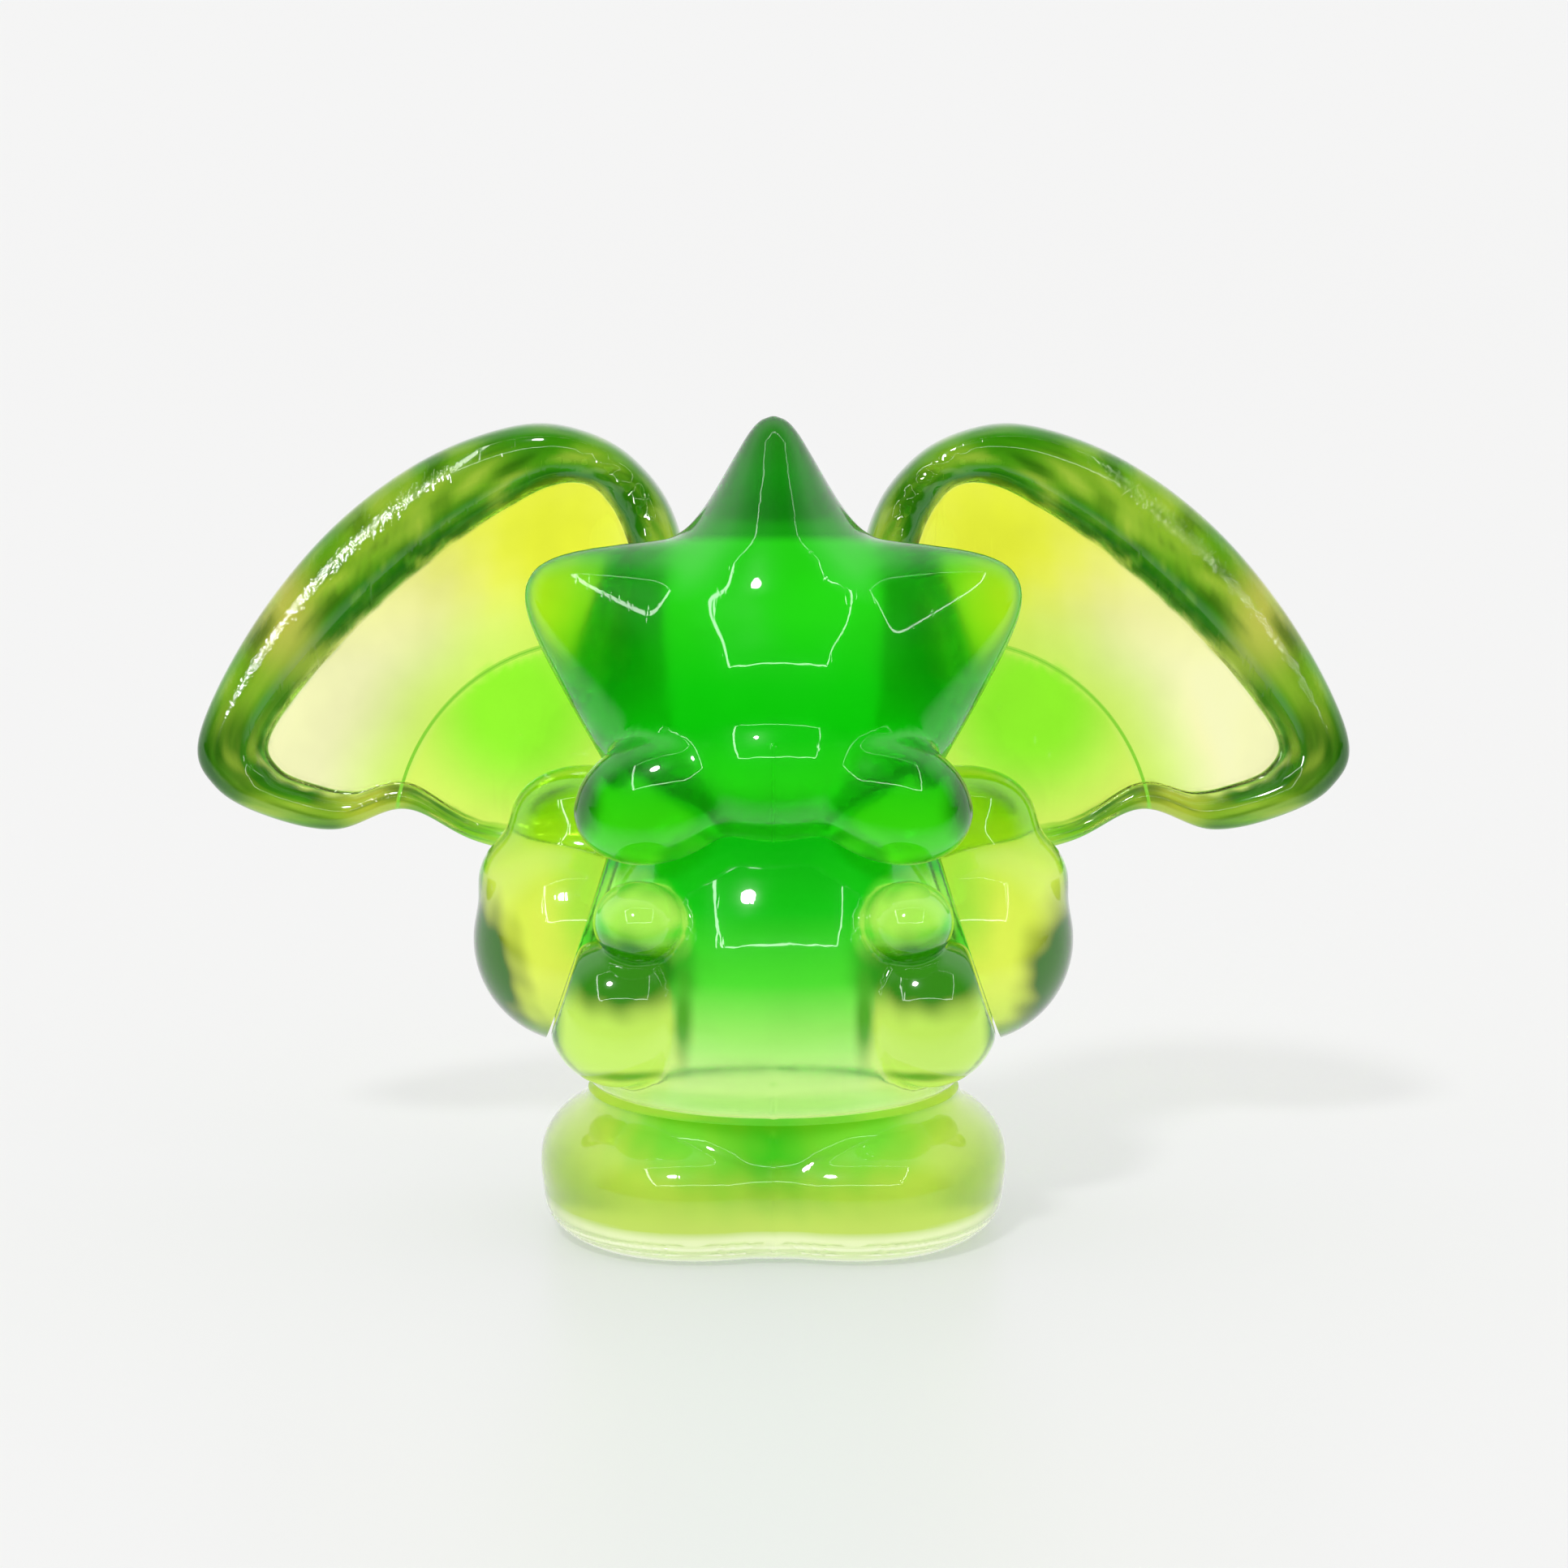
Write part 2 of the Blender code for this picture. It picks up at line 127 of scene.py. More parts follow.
def parting_line(item, axis, place, width, proud, low, high):
    """Raise or sink a fine band of the skin, square to an axis, between two heights in mm."""
    across = Vector((axis == "X", 0.0, axis == "Z"))
    pick(item)
    bpy.ops.object.mode_set(mode="EDIT")
    for offset in (place - 0.5 * width, place + 0.5 * width):
        bpy.ops.mesh.select_all(action="SELECT")
        bpy.ops.mesh.bisect(plane_co=across * offset * MM, plane_no=across, threshold=1e-7)
    bpy.ops.mesh.select_all(action="DESELECT")
    bpy.ops.mesh.select_mode(type="FACE")
    skin = bmesh.from_edit_mesh(item.data)
    for face in skin.faces:
        middle = face.calc_center_median()
        inside = abs(middle.dot(across) - place * MM) < 0.5 * width * MM
        face.select_set(inside and low * MM < middle.z < high * MM)
    bmesh.update_edit_mesh(item.data)
    bpy.ops.transform.shrink_fatten(value=proud * MM)
    bpy.ops.object.mode_set(mode="OBJECT")


def smooth_over(item):
    """Shade a skin smooth, but for its edges of over 50 degrees."""
    pick(item)
    bpy.ops.object.shade_smooth_by_angle(angle=math.radians(50.0))


# An upper and a lower lobe in the middle, the round seat, and the same two lobes again, fuller, on each side.
feet_lobes = [
    pebble((8.2, 11.7, 4.7), (0.0, -0.3, 4.2), 0.94, 0.9),
    pebble((8.0, 11.5, 3.3), (0.0, -0.3, 2.4), 0.94, 0.8),
    drum(11.2, 3.0, 12.0, 0.3),
]
for side in (-1, 1):
    feet_lobes.append(pebble((9.5, 12.3, 4.75), (side * 4.7, -0.3, 4.2), 0.94, 0.9))
    feet_lobes.append(pebble((9.3, 12.1, 3.4), (side * 4.7, -0.3, 2.4), 0.94, 0.8))
feet = melt("feet_skin", feet_lobes)
finish_step(feet, "SMOOTH", factor=0.5, iterations=90)
slice_off(feet, (0.0, 0.0, 0.0), (0.0, 0.0, -1.0))
slice_off(feet, (0.0, 0.0, SEAT_Z), (0.0, 0.0, 1.0))
parting_line(feet, "Z", 1.35, width=0.22, proud=-0.06, low=0.0, high=9.0)
parting_line(feet, "Z", 0.8, width=0.14, proud=-0.05, low=0.0, high=9.0)
parting_line(feet, "X", 0.0, width=0.2, proud=0.05, low=0.3, high=8.0)
smooth_over(feet)


def linear(text):
    """An sRGB hex colour as linear red, green, blue and alpha."""
    shares = [int(text[i : i + 2], 16) / 255.0 for i in (1, 3, 5)]
    return [s / 12.92 if s <= 0.04045 else ((s + 0.055) / 1.055) ** 2.4 for s in shares] + [1.0]


def add_node(tree, kind, values=None, links=None, **settings):
    """One node with its settings, its own input values and its links from other nodes."""
    made = tree.nodes.new(kind)
    for name, value in settings.items():
        setattr(made, name, value)
    for name, value in (values or {}).items():
        made.inputs[name].default_value = value
    for name, source in (links or {}).items():
        tree.links.new(source, made.inputs[name])
    return made


def paint_colour_light_and_shade(item, ground, spots, rise=0.0):
    """Colour a skin: a colour for each height, then soft spots alike on both sides, all in mm."""
    # A rise tilts the levels up towards the back. A spot goes as far back as its last number.
    # The colours are the dye with painted light and shade laid over it.
    places = numpy.empty(len(item.data.vertices) * 3)
    item.data.vertices.foreach_get("co", places)
    across, back, up = (places.reshape(-1, 3) / MM).T
    heights = [height for height, colour in ground]
    shades = numpy.array([linear(colour) for height, colour in ground])
    levels = up - rise * back
    dye_and_painted_shading = numpy.stack([numpy.interp(levels, heights, shades[:, k]) for k in range(4)], axis=1)
    for colour, x, z, half_width, half_height, softness, last_y in spots:
        reach = numpy.hypot((abs(across) - x) / half_width, (up - z) / half_height)
        # A spot's edge wanders a little, by a few hundredths of its size.
        reach += 0.03 * numpy.sin(1.3 * across + 2.1 * up) * numpy.sin(1.7 * up - back)
        reach += 0.03 * numpy.sin(3.1 * across - 1.9 * back + 0.7 * up)
        share = numpy.clip((1.0 - reach) / softness, 0.0, 1.0)
        share = share * share * (3.0 - 2.0 * share) * numpy.clip(last_y - back, 0.0, 1.0)
        dye_and_painted_shading = dye_and_painted_shading * (1.0 - share[:, None]) + numpy.array(linear(colour)) * share[:, None]
    layer = item.data.color_attributes.new("dye_and_painted_shading", "FLOAT_COLOR", "POINT")
    layer.data.foreach_set("color", dye_and_painted_shading.ravel())


def clear_vinyl(name, taken, cloudy, scuffed):
    """Cast clear vinyl: a wet gloss on a body that light goes soft in, deeper in colour where it is thick."""
    # Taken is what a metre of it takes from red, green and blue light, cloudy how soft the light goes in it,
    # and scuffed how deep its scratches are.
    material = bpy.data.materials.new(name)
    material.use_nodes = True
    tree = material.node_tree
    tree.nodes.clear()
    place = add_node(tree, "ShaderNodeTexCoord")
    # The colour is the skin's dye with its painted light and shade.
    dye_and_painted_shading = add_node(tree, "ShaderNodeAttribute", attribute_name="dye_and_painted_shading")
    # Clouds in the dye, about 8 mm across.
    cloud = add_node(
        tree,
        "ShaderNodeTexNoise",
        {"Scale": 130.0, "Detail": 3.0, "Roughness": 0.55},
        {"Vector": place.outputs["Object"]},
    )
    depth = add_node(
        tree,
        "ShaderNodeMapRange",
        {"From Min": 0.3, "From Max": 0.7, "To Min": 0.9, "To Max": 1.06},
        {"Value": cloud.outputs["Fac"]},
    )
    tint = add_node(
        tree,
        "ShaderNodeVectorMath",
        None,
        {0: dye_and_painted_shading.outputs["Color"], 1: depth.outputs["Result"]},
        operation="MULTIPLY",
    )
    # Ripples from the mould, about 6 mm across, and scratches about 0.4 mm wide, drawn out along one way.
    # Real scratches are finer, and these are as coarse as they need to be to show.
    ripple = add_node(
        tree,
        "ShaderNodeTexNoise",
        {"Scale": 160.0, "Detail": 2.0, "Roughness": 0.5},
        {"Vector": place.outputs["Object"]},
    )
    drawn = add_node(
        tree,
        "ShaderNodeMapping",
        {"Rotation": (0.4, 0.7, 0.5), "Scale": (1.0, 0.3, 0.12)},
        {"Vector": place.outputs["Object"]},
    )
    scratch = add_node(
        tree,
        "ShaderNodeTexNoise",
        {"Scale": 2600.0, "Detail": 1.0, "Roughness": 0.5},
        {"Vector": drawn.outputs["Vector"]},
    )
    cut = add_node(
        tree,
        "ShaderNodeMapRange",
        {"From Min": 0.6, "From Max": 0.72, "To Min": 0.0, "To Max": scuffed},
        {"Value": scratch.outputs["Fac"]},
    )
    relief = add_node(
        tree,
        "ShaderNodeMath",
        None,
        {0: ripple.outputs["Fac"], 1: cut.outputs["Result"]},
        operation="SUBTRACT",
    )
    shallow = {"Strength": 0.25, "Distance": 0.04 * MM}
    bump = add_node(tree, "ShaderNodeBump", shallow, {"Height": relief.outputs["Value"]})
    wave = add_node(tree, "ShaderNodeBump", shallow, {"Height": ripple.outputs["Fac"]})
    # The softness differs a little from place to place, over about 3 mm.
    wear = add_node(
        tree,
        "ShaderNodeTexNoise",
        {"Scale": 300.0, "Detail": 2.0, "Roughness": 0.5},
        {"Vector": place.outputs["Object"]},
    )
    gloss = add_node(
        tree,
        "ShaderNodeMapRange",
        {"From Min": 0.35, "From Max": 0.75, "To Min": cloudy - 0.04, "To Max": cloudy + 0.06},
        {"Value": wear.outputs["Fac"]},
    )
    # The coat has vinyl's own index. The body has less, so that what is behind it doesn't turn over in it.
    shader = add_node(
        tree,
        "ShaderNodeBsdfPrincipled",
        {
            "Transmission Weight": 1.0,
            "IOR": 1.2,
            "Coat Weight": 1.0,
            "Coat Roughness": 0.03,
            "Coat IOR": 1.49,
        },
        {
            "Base Color": tint.outputs["Vector"],
            "Roughness": gloss.outputs["Result"],
            "Normal": wave.outputs["Normal"],
            "Coat Normal": bump.outputs["Normal"],
        },
    )
    body = add_node(
        tree,
        "ShaderNodeVolumeAbsorption",
        {"Color": [1.0 - share / max(taken) for share in taken] + [1.0], "Density": max(taken)},
    )
    add_node(
        tree,
        "ShaderNodeOutputMaterial",
        None,
        {"Surface": shader.outputs["BSDF"], "Volume": body.outputs["Volume"]},
    )
    return material, tree, shader, tint, relief, bump, place


def dress(item, material):
    """Give a piece its one material."""
    item.data.materials.clear()
    item.data.materials.append(material)


THROUGH = 99.0
# Over the lime dye: painted light, near white, at the foot, and painted shade, deep green, on the middle of
# the top.
paint_colour_light_and_shade(
    feet,
    ((1.1, "#FFFFEC"), (2.5, "#FCFFD0"), (3.0, "#ACCC2C"), (8.5, "#B0D824")),
    (
        ("#14AC04", 0.0, 7.2, 11.0, 5.2, 0.9, THROUGH),
        ("#48CC14", 5.5, 7.6, 6.0, 3.0, 0.9, THROUGH),
    ),
    rise=0.06,
)
# Lime vinyl, the cloudiest of all, paler at the foot where the white board shows through, and painted paler
# there too.
lime_feet = clear_vinyl("clear lime vinyl feet", (11.0, 1.5, 36.0), 0.36, 0.2)[0]
dress(feet, lime_feet)
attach(feet, "base")
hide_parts("feet_base")

# Torso
# The round body, cast in clear green vinyl in one piece with its collar, two legs and two small paws.
# Its sides are planed flat for the arms and its back for the wings, and it turns on the feet at the waist.
SLANT = math.radians(18.5)
SHOULDER = (10.4, 2.6, 21.5)
WAIST_Z = 8.8
NECK_Z = 25.2
BACK_Y = 8.4
BELLY = (12.0, 12.0, 13.07)
BELLY_PLACE = (0.0, 0.0, 15.0)
belly = pebble(BELLY, BELLY_PLACE)
slice_off(belly, (0.0, BACK_Y, 0.0), (0.0, 1.0, 0.0))
rump = pebble(BELLY, BELLY_PLACE)
slice_off(rump, (0.0, BACK_Y, 17.0), (0.0, 0.91, 0.41))
collar = drum(11.2, WAIST_Z, 10.8, 0.4)
torso_lobes = [belly, rump, collar]
for side in (-1, 1):
    knee = pebble((4.4, 4.4, 4.5), (side * 9.0, -7.1, 14.5), 0.95, 0.95)
    paw = pebble((2.7, 3.2, 2.4), (side * 7.9, -9.3, 20.3))
    flank = pebble((5.6, 6.2, 6.2), (side * 8.0, 0.9, 18.2))
    haunch = pebble((4.9, 6.6, 5.6), (side * 8.6, 1.2, 13.6), 0.95, 0.95)
    torso_lobes += [knee, paw, flank, haunch]
for lobe in torso_lobes:
    slice_off(lobe, (0.0, 0.0, WAIST_Z), (0.0, 0.0, -1.0))
    slice_off(lobe, (0.0, 0.0, NECK_Z), (0.0, 0.0, 1.0))
    for side in (-1, 1):
        shoulder = (side * SHOULDER[0], SHOULDER[1], SHOULDER[2])
        slice_off(lobe, shoulder, (side * math.cos(SLANT), 0.0, math.sin(SLANT)))
torso = melt("torso_skin", torso_lobes)
finish_step(torso, "SMOOTH", factor=0.5, iterations=10)
parting_line(torso, "X", 0.0, width=0.2, proud=0.05, low=8.9, high=11.0)
smooth_over(torso)
# Over the dye: painted light at the waist, knees and paws; painted shade at the neck, knee tops and knee
# creases.
paint_colour_light_and_shade(
    torso,
    (
        (9.0, "#FAFAB4"),
        (10.5, "#E0FA98"),
        (13.0, "#A4FA70"),
        (17.0, "#36DC20"),
        (21.0, "#08C010"),
        (24.0, "#04AC0C"),
    ),
    (
        ("#E4FA74", 9.2, 13.2, 4.8, 5.0, 0.3, THROUGH),
        ("#B4FF60", 7.9, 19.9, 3.4, 3.1, 0.35, THROUGH),
        ("#0C5004", 9.0, 17.6, 5.8, 3.4, 0.55, -4.0),
        ("#2C7C10", 5.3, 14.6, 0.9, 4.0, 0.8, -4.0),
        ("#2C7C10", 13.0, 14.2, 0.9, 3.6, 0.8, -2.0),
        ("#3C7C10", 8.8, 11.2, 4.0, 0.6, 0.8, -4.0),
    ),
)
# Green vinyl, painted pale at the waist and deep at the neck, with paler legs and paws outlined in painted
# shade.
green_torso = clear_vinyl("clear green vinyl torso", (12.0, 1.0, 14.0), 0.2, 0.2)[0]
dress(torso, green_torso)
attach(torso, "torso")
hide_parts("torso")

# Head
# One casting in the deepest green vinyl: a broad skull, a centre horn, two side horns, a muzzle and cheeks.
# It is hollowed underneath to sit over the top of the body, and turns a little on a peg at the neck.
HEAD_Z = 25.5
HOLLOW = (12.3, 12.3, 13.37)
HOLLOW_DEPTH = 2.2
CENTRE_HORN = (
    (7.6, 7.8, 0.0),
    (7.4, 7.6, 0.4),
    (6.2, 6.3, 2.6),
    (5.1, 5.55, 3.6),
    (3.95, 4.45, 5.1),
    (3.05, 3.3, 6.7),
    (2.2, 2.2, 8.2),
    (1.5, 1.35, 9.5),
    (0.9, 0.8, 10.2),
    (0.35, 0.3, 10.45),
)
SIDE_HORN = (
    (9.2, -0.2),
    (9.0, 0.0),
    (7.0, 3.2),
    (5.2, 6.0),
    (3.7, 8.2),
    (2.5, 9.8),
    (1.4, 10.8),
    (0.5, 11.2),
)
SIDE_HORN_FLATNESS = 0.7
SIDE_HORN_LEAN = math.radians(62.0)


def horn(steps, lean, place):
    """An oval drawn up and narrowed step by step to a tip, smoothed, leant over and set in place."""
    # A step is a half width, a half depth and a height, in mm.
    bpy.ops.object.select_all(action="DESELECT")
    bpy.ops.mesh.primitive_circle_add(vertices=32, radius=MM, fill_type="NGON")
    item = bpy.context.object
    bpy.ops.object.mode_set(mode="EDIT")
    bpy.ops.mesh.select_all(action="SELECT")
    bpy.ops.transform.resize(value=(steps[0][0], steps[0][1], 1.0), center_override=(0.0, 0.0, 0.0))
    for (last_width, last_depth, start), (width, depth, end) in zip(steps[:-1], steps[1:]):
        bpy.ops.mesh.extrude_region_move(TRANSFORM_OT_translate={"value": (0.0, 0.0, (end - start) * MM)})
        bpy.ops.transform.resize(
            value=(width / last_width, depth / last_depth, 1.0), center_override=(0.0, 0.0, end * MM)
        )
    bpy.ops.mesh.select_all(action="SELECT")
    bpy.ops.mesh.normals_make_consistent(inside=False)
    bpy.ops.object.mode_set(mode="OBJECT")
    finish_step(item, "SUBSURF", levels=2, render_levels=2)
    item.rotation_euler = (0.0, lean, 0.0)
    item.location = [length * MM for length in place]
    bpy.ops.object.transform_apply(location=True, rotation=True, scale=True)
    return item


# Skull, brow and muzzle, with the centre horn on top, then a cheek and a side horn on each side.
head_lobes = [
    pebble((11.4, 8.6, 8.8), (0.0, -1.2, HEAD_Z + 8.8), 1.1, 0.9),
    pebble((8.0, 6.2, 8.0), (0.0, -4.2, HEAD_Z + 7.6)),
    pebble((6.0, 4.5, 4.6), (0.0, -7.0, HEAD_Z + 3.6)),
    horn(CENTRE_HORN, 0.0, (0.0, -1.2, HEAD_Z + 13.5)),
]
flat_steps = [(width, SIDE_HORN_FLATNESS * width, height) for width, height in SIDE_HORN]
for side in (-1, 1):
    cheek = pebble((5.4, 3.4, 3.9), (side * 6.6, -7.5, HEAD_Z + 1.9), turn=side * 0.35)
    side_horn = horn(flat_steps, side * SIDE_HORN_LEAN, (side * 4.6, -2.6, HEAD_Z + 9.0))
    head_lobes += [cheek, side_horn]
hollow = pebble(HOLLOW, BELLY_PLACE)
slice_off(hollow, (0.0, 0.0, HEAD_Z), (0.0, 0.0, 1.0))
for lobe in head_lobes:
    finish_step(lobe, "BOOLEAN", operation="DIFFERENCE", solver="MANIFOLD", object=hollow)
    slice_off(lobe, (0.0, 0.0, HEAD_Z - HOLLOW_DEPTH), (0.0, 0.0, -1.0))
bpy.data.objects.remove(hollow)
head = melt("head_skin", head_lobes)
finish_step(head, "SMOOTH", factor=0.5, iterations=90)
parting_line(head, "X", 0.0, width=0.16, proud=0.03, low=23.0, high=31.0)
smooth_over(head)
# Over the dye: painted light low down and on the side horns; painted shade on the face, horn and cheek ends.
paint_colour_light_and_shade(
    head,
    (
        (23.0, "#68F850"),
        (27.0, "#40E828"),
        (30.0, "#0CD00A"),
        (33.0, "#18D414"),
        (37.0, "#34E41A"),
        (41.5, "#34E01A"),
        (42.0, "#067C02"),
        (45.4, "#14920C"),
        (48.8, "#2C881C"),
    ),
    (
        ("#E8FF60", 14.0, 38.2, 6.6, 6.4, 0.9, THROUGH),
        ("#1A6C04", 12.2, 27.4, 2.8, 3.4, 0.5, -3.0),
    ),
    rise=-0.12,
)
# Green vinyl with the most dye, the thick head dark and thin side horns pale, painted further in light and
# shade.
green_head = clear_vinyl("clear green vinyl head", (50.0, 3.0, 60.0), 0.33, 0.2)[0]
dress(head, green_head)
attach(head, "head")
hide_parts("head")

# Arms
# Two outer arms in clear lime vinyl, each a shoulder and a forearm in one casting, flat against the body.
# Each is pushed on a peg at the shoulder and swings forwards and back on it.
ARM_SEAM = 0.03
# Lime vinyl with the least dye in it, bright but for painted shade at its outer and lower edges.
lime_arm = clear_vinyl("clear lime vinyl arms", (4.0, 1.0, 12.0), 0.2, 0.3)[0]
for side, name in ((-1, "arm_left"), (1, "arm_right")):
    lean = -side * SLANT
    along = Vector((math.sin(lean), 0.0, math.cos(lean)))
    shoulder = Vector((side * SHOULDER[0], SHOULDER[1], SHOULDER[2]))
    arm_lobes = [
        pebble((6.5, 4.3, 4.4), shoulder + along * 1.7 + Vector((0.0, 0.2, 0.0)), turn=lean),
        pebble((7.2, 4.8, 4.8), shoulder - along * 2.2 + Vector((0.0, -0.4, 0.0)), turn=lean),
        pebble((6.5, 5.6, 6.4), shoulder - along * 4.4 + Vector((0.0, -2.0, 0.0)), turn=lean),
    ]
    inward = Vector((-side * math.cos(SLANT), 0.0, -math.sin(SLANT)))
    arm = melt(name + "_skin", arm_lobes)
    finish_step(arm, "SMOOTH", factor=0.5, iterations=160)
    slice_off(arm, shoulder - inward * ARM_SEAM, inward)
    smooth_over(arm)
    # Painted shade: the dark spots at the outer and lower edges of the arm.
    paint_colour_light_and_shade(
        arm,
        ((12.0, "#C8E860"), (15.0, "#E8F860"), (20.0, "#E8FC5C"), (23.0, "#C0F040"), (27.0, "#A8E838")),
        (
            ("#063404", 19.0, 15.0, 5.2, 7.4, 0.4, 3.0),
            ("#063404", 16.4, 10.8, 4.4, 4.0, 0.5, 3.0),
            ("#48841A", 14.0, 11.6, 3.2, 1.8, 0.8, 1.5),
            ("#A8EC44", 11.4, 19.6, 2.6, 4.4, 0.9, THROUGH),
        ),
    )
    dress(arm, lime_arm)
    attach(arm, name)
    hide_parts(name)

# Wings
# Two wings in pale clear vinyl, each a thick round rim about a thin web with a fuller inner lobe by the body.
# Each is pushed on a peg behind the body and tilts a little on it.
WING_WIDTH = 30.8
WING_HEIGHT = 27.2
# Places round the rim, outer edge then inner edge, as shares of the wing's width and height.
WING_EDGES = (
    ((0.009, 0.761), (0.110, 0.720)),
    ((0.103, 0.927), (0.170, 0.850)),
    ((0.233, 0.999), (0.255, 0.868)),
    ((0.364, 0.996), (0.360, 0.810)),
    ((0.546, 0.912), (0.500, 0.700)),
    ((0.730, 0.751), (0.645, 0.555)),
    ((0.892, 0.522), (0.785, 0.385)),
    ((0.999, 0.275), (0.856, 0.262)),
    ((0.965, 0.158), (0.832, 0.195)),
    ((0.856, 0.090), (0.765, 0.163)),
    ((0.714, 0.061), (0.680, 0.147)),
    ((0.571, 0.113), (0.571, 0.172)),
    ((0.430, 0.042), (0.435, 0.092)),
    ((0.250, -0.010), (0.280, 0.075)),
    ((0.110, -0.090), (0.190, 0.110)),
    ((-0.020, -0.120), (0.140, 0.170)),
    ((-0.115, -0.020), (0.105, 0.240)),
    ((-0.085, 0.160), (0.090, 0.320)),
    ((-0.030, 0.420), (0.080, 0.480)),
)
# Half the depth of the rim where it is at its full width or wider, and half the depth of the web, in mm.
RIM_HALF = 2.1
FULL_RIM = 4.0
WEB_HALF = 0.55
# The rim's section: how far across it, and the share of its half depth there.
RIM_SECTION = (
    (0.03, 0.36),
    (0.09, 0.62),
    (0.18, 0.84),
    (0.30, 0.97),
    (0.42, 1.0),
    (0.56, 0.97),
    (0.70, 0.85),
    (0.82, 0.62),
    (0.91, 0.32),
    (0.97, 0.09),
)
# The fold where the fuller inner lobe begins, in mm from the wing's root.
FOLD = ((18.2, 2.6), (17.6, 4.9), (15.5, 9.0), (12.4, 11.9), (8.3, 13.4), (3.5, 13.8), (-3.0, 13.0))


def smooth_loop(points, count):
    """Points at even steps along a smooth closed curve through the given ones."""
    total = len(points)
    loop = []
    for index in range(count):
        share = index * total / count
        first = int(share)
        t = share - first
        p0, p1, p2, p3 = (Vector(points[(first + k) % total]) for k in (-1, 0, 1, 2))
        curve = 2.0 * p1 + (p2 - p0) * t + (2.0 * p0 - 5.0 * p1 + 4.0 * p2 - p3) * t * t
        loop.append(0.5 * (curve + (3.0 * p1 - p0 - 3.0 * p2 + p3) * t * t * t))
    return loop


def ease(low, high, value):
    """Rise from 0 to 1 between two values, level at both ends."""
    share = min(1.0, max(0.0, (value - low) / (high - low)))
    return share * share * (3.0 - 2.0 * share)


def inside_fold(point):
    """How far a point of the wing lies inside the inner lobe's fold, in mm; less than 0 outside it."""
    best = math.inf
    sign = 1.0
    for start, end in zip(FOLD[:-1], FOLD[1:]):
        a = Vector(start)
        b = Vector(end)
        share = min(1.0, max(0.0, (point - a).dot(b - a) / (b - a).length_squared))
        gap = point - a.lerp(b, share)
        if gap.length < best:
            best = gap.length
            sign = 1.0 if (b - a).cross(gap) > 0.0 else -1.0
    return sign * best


def web_depth(point):
    """Half the wing's thickness away from its rim, in mm."""
    inner = inside_fold(point)
    lobe = 0.5 * ease(0.0, 9.0, inner)
    boss = 1.5 * ease(6.0, 2.5, point.length)
    return WEB_HALF + max(lobe, boss)


def wing_loop(points):
    """A smooth loop through places on the wing, in mm from its root."""
    return [Vector((p.x * WING_WIDTH, p.y * WING_HEIGHT)) for p in smooth_loop(points, COUNT)]


# The wing is drawn in rings, from the outer edge over the rim and on over the web towards its hub.
COUNT = 152
edge = wing_loop([outer for outer, inner in WING_EDGES])
web = wing_loop([inner for outer, inner in WING_EDGES])
hub = Vector((15.2, 15.4))
rings = [[(p, 0.0, 0.0) for p in edge]]
for across, share in RIM_SECTION:
    ring = []
    for start, end in zip(edge, web):
        full = min(1.0, 0.3 + 0.7 * (end - start).length / FULL_RIM)
        point = start.lerp(end, across)
        depth = WEB_HALF + (RIM_HALF * full - WEB_HALF) * share
        if across > 0.4:
            depth = max(depth, web_depth(point))
        ring.append((point, depth, across))
    rings.append(ring)
for inward in (0.0, 0.04, 0.09, 0.15, 0.22, 0.3, 0.38, 0.46, 0.54, 0.62, 0.7, 0.78, 0.86, 0.93, 0.98):
    points = [p.lerp(hub, inward) for p in web]
    rings.append([(p, web_depth(p), 1.0 + inward) for p in points])
bpy.ops.object.select_all(action="DESELECT")
bpy.ops.mesh.primitive_circle_add(vertices=COUNT, radius=10.0 * MM)
wing = bpy.context.object
bpy.ops.object.mode_set(mode="EDIT")
bpy.ops.mesh.select_all(action="SELECT")
for number, ring in enumerate(rings):
    if number:
        bpy.ops.mesh.extrude_edges_move()
    skin = bmesh.from_edit_mesh(wing.data)
    across_rim = skin.verts.layers.float.get("across") or skin.verts.layers.float.new("across")
    place_in_ring = skin.verts.layers.int.get("place") or skin.verts.layers.int.new("place")
    skin.verts.ensure_lookup_table()
    skin.verts.index_update()
    for vert in skin.verts:
        if vert.select:
            if not number:
                vert[place_in_ring] = vert.index
            point, depth, across = ring[vert[place_in_ring]]
            vert.co = (point.x * MM, -depth * MM, point.y * MM)
            vert[across_rim] = across
    bmesh.update_edit_mesh(wing.data)
bpy.ops.mesh.fill_grid(span=COUNT // 4)
skin = bmesh.from_edit_mesh(wing.data)
for vert in skin.verts:
    if vert.select:
        vert[skin.verts.layers.float["across"]] = 2.0
bmesh.update_edit_mesh(wing.data)
bpy.ops.mesh.select_all(action="SELECT")
bpy.ops.mesh.normals_make_consistent(inside=False)
bpy.ops.object.mode_set(mode="OBJECT")
finish_step(wing, "MIRROR", use_axis=(False, True, False), use_mirror_merge=True, merge_threshold=1e-6)
finish_step(wing, "SUBSURF", levels=1, render_levels=1)
paint_colour_light_and_shade(
    wing,
    ((0.0, "#FDFDC8"), (12.0, "#FDFDC0"), (18.0, "#FAFA98"), (24.0, "#F4F860")),
    (("#F0F840", 8.0, 20.0, 11.0, 10.0, 0.9, THROUGH),),
)
